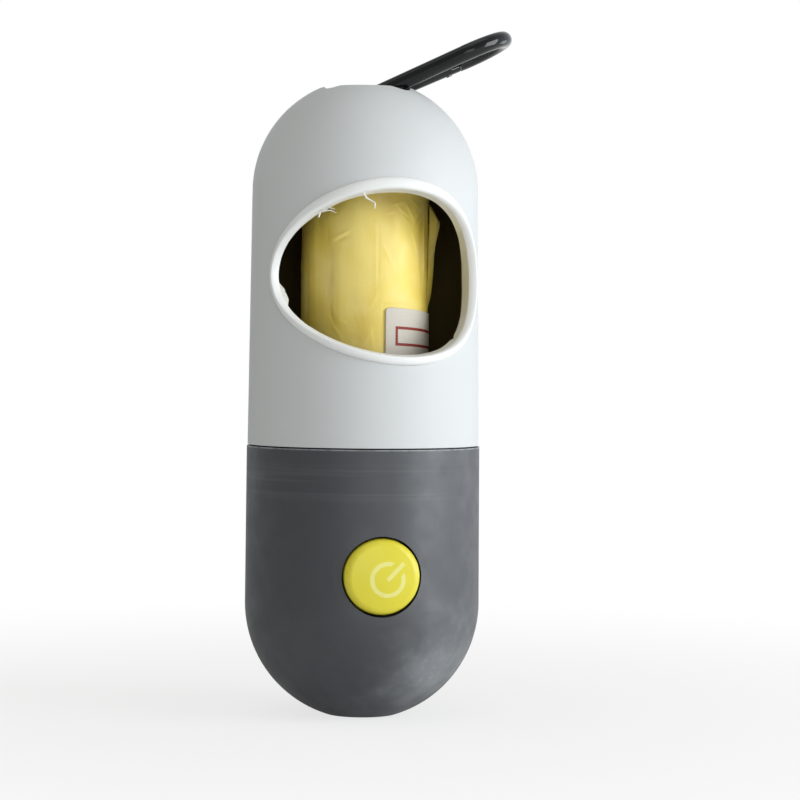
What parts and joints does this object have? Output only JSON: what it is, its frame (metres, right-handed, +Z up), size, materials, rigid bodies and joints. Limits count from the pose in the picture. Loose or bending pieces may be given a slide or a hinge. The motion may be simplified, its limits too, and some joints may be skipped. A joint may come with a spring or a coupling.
{
  "type": "pet waste bag dispenser",
  "caption": "Capsule-shaped pet waste bag dispenser: bag compartment with an egg-shaped mouth above, torch with a push button below, and a snap hook on top.",
  "frame": {"origin": "centre of the torch's front face, the flat that the dispenser stands on", "axes": "+Z up along the capsule, -Y to the front where the mouth and the power button are, +X to the right"},
  "size_m": [0.0516, 0.0474, 0.1352],
  "materials": {
    "dark_shell": "satin dark grey moulded plastic",
    "inner_plastic": "matt black moulded plastic",
    "screw_steel": "zinc-plated steel",
    "button_yellow": "soft yellow plastic",
    "plunger_white": "white plastic",
    "board_green": "solder mask",
    "led_resin": "water-clear resin",
    "reflector_chrome": "metallised plastic",
    "lens_clear": "clear plastic",
    "bezel_dark": "dark glossy plastic",
    "cell_steel": "nickel-plated steel",
    "spring_steel": "bright spring wire",
    "contact_brass": "brass",
    "cover_dark": "matt black moulded plastic",
    "wire_red": "wire insulation",
    "wire_black": "wire insulation",
    "seal_black": "matt rubber",
    "light_shell": "matt light grey moulded plastic",
    "lip_white": "soft white plastic",
    "card": "brown card",
    "bag_yellow": "thin yellow film, creased, soft gloss",
    "label_paper": "off-white paper",
    "hook_black": "black anodised aluminium, glossy",
    "rivet_steel": "bright steel"
  },
  "bodies": {
    "torch": {"lower_shell": "dark_shell", "torch_frame": "inner_plastic", "frame_screws": "screw_steel", "switch_body": "inner_plastic", "led_board": "board_green", "led": "led_resin", "reflector": "reflector_chrome", "lens": "lens_clear", "lens_bezel": "bezel_dark", "button_cell_1": "cell_steel", "button_cell_2": "cell_steel", "button_cell_3": "cell_steel", "cell_spring": "spring_steel", "cell_contact": "contact_brass", "battery_cover": "cover_dark", "cover_screw": "screw_steel", "wire_red": "wire_red", "wire_black": "wire_black"},
    "button": {"power_button": "button_yellow"},
    "plunger": {"switch_plunger": "plunger_white"},
    "seal": {"seam_ring": "seal_black"},
    "bag_housing": {"upper_shell": "light_shell", "mouth_rim": "lip_white"},
    "bag_roll": {"roll_core": "card", "bag_film": "bag_yellow", "roll_label": "label_paper"},
    "hook": {"carabiner_frame": "hook_black", "gate_rivet": "rivet_steel"},
    "gate": {"carabiner_gate": "hook_black", "latch_pin": "rivet_steel"}
  },
  "joints": [
    {"name": "button_press", "type": "slide", "parent": "torch", "child": "button", "axis": [0, 1, 0], "range_m": [0, 0.0012], "stiffness_N_per_m": 1500, "springref_m": -0.0006},
    {"name": "plunger_press", "type": "slide", "parent": "torch", "child": "plunger", "axis": [0, 1, 0], "range_m": [0, 0.0012]},
    {"name": "housing_turn", "type": "hinge", "parent": "torch", "child": "seal", "pos_m": [0, 0, 0.0532], "axis": [0, 0, 1], "continuous": true},
    {"name": "housing_lift", "type": "slide", "parent": "seal", "child": "bag_housing", "axis": [0, 0, 1], "range_m": [0, 0.07]},
    {"name": "roll_spin", "type": "hinge", "parent": "torch", "child": "bag_roll", "pos_m": [0, 0, 0.0603], "axis": [0, 0, 1], "continuous": true},
    {"name": "hook_swing", "type": "hinge", "parent": "bag_housing", "child": "hook", "pos_m": [-0.00585, 0.00109, 0.1187], "axis": [-0.184, -0.9829, 0], "range_deg": [0, 68]},
    {"name": "gate_swing", "type": "hinge", "parent": "hook", "child": "gate", "pos_m": [0.00363, 0.0044, 0.12263], "axis": [-0.4045, 0.0757, 0.9114], "range_deg": [-20, 0], "stiffness_Nm_per_rad": 0.05, "springref_deg": 22.92}
  ],
  "couplings": [
    {"joint": "plunger_press", "follows": "button_press", "ratio": 1}
  ]
}
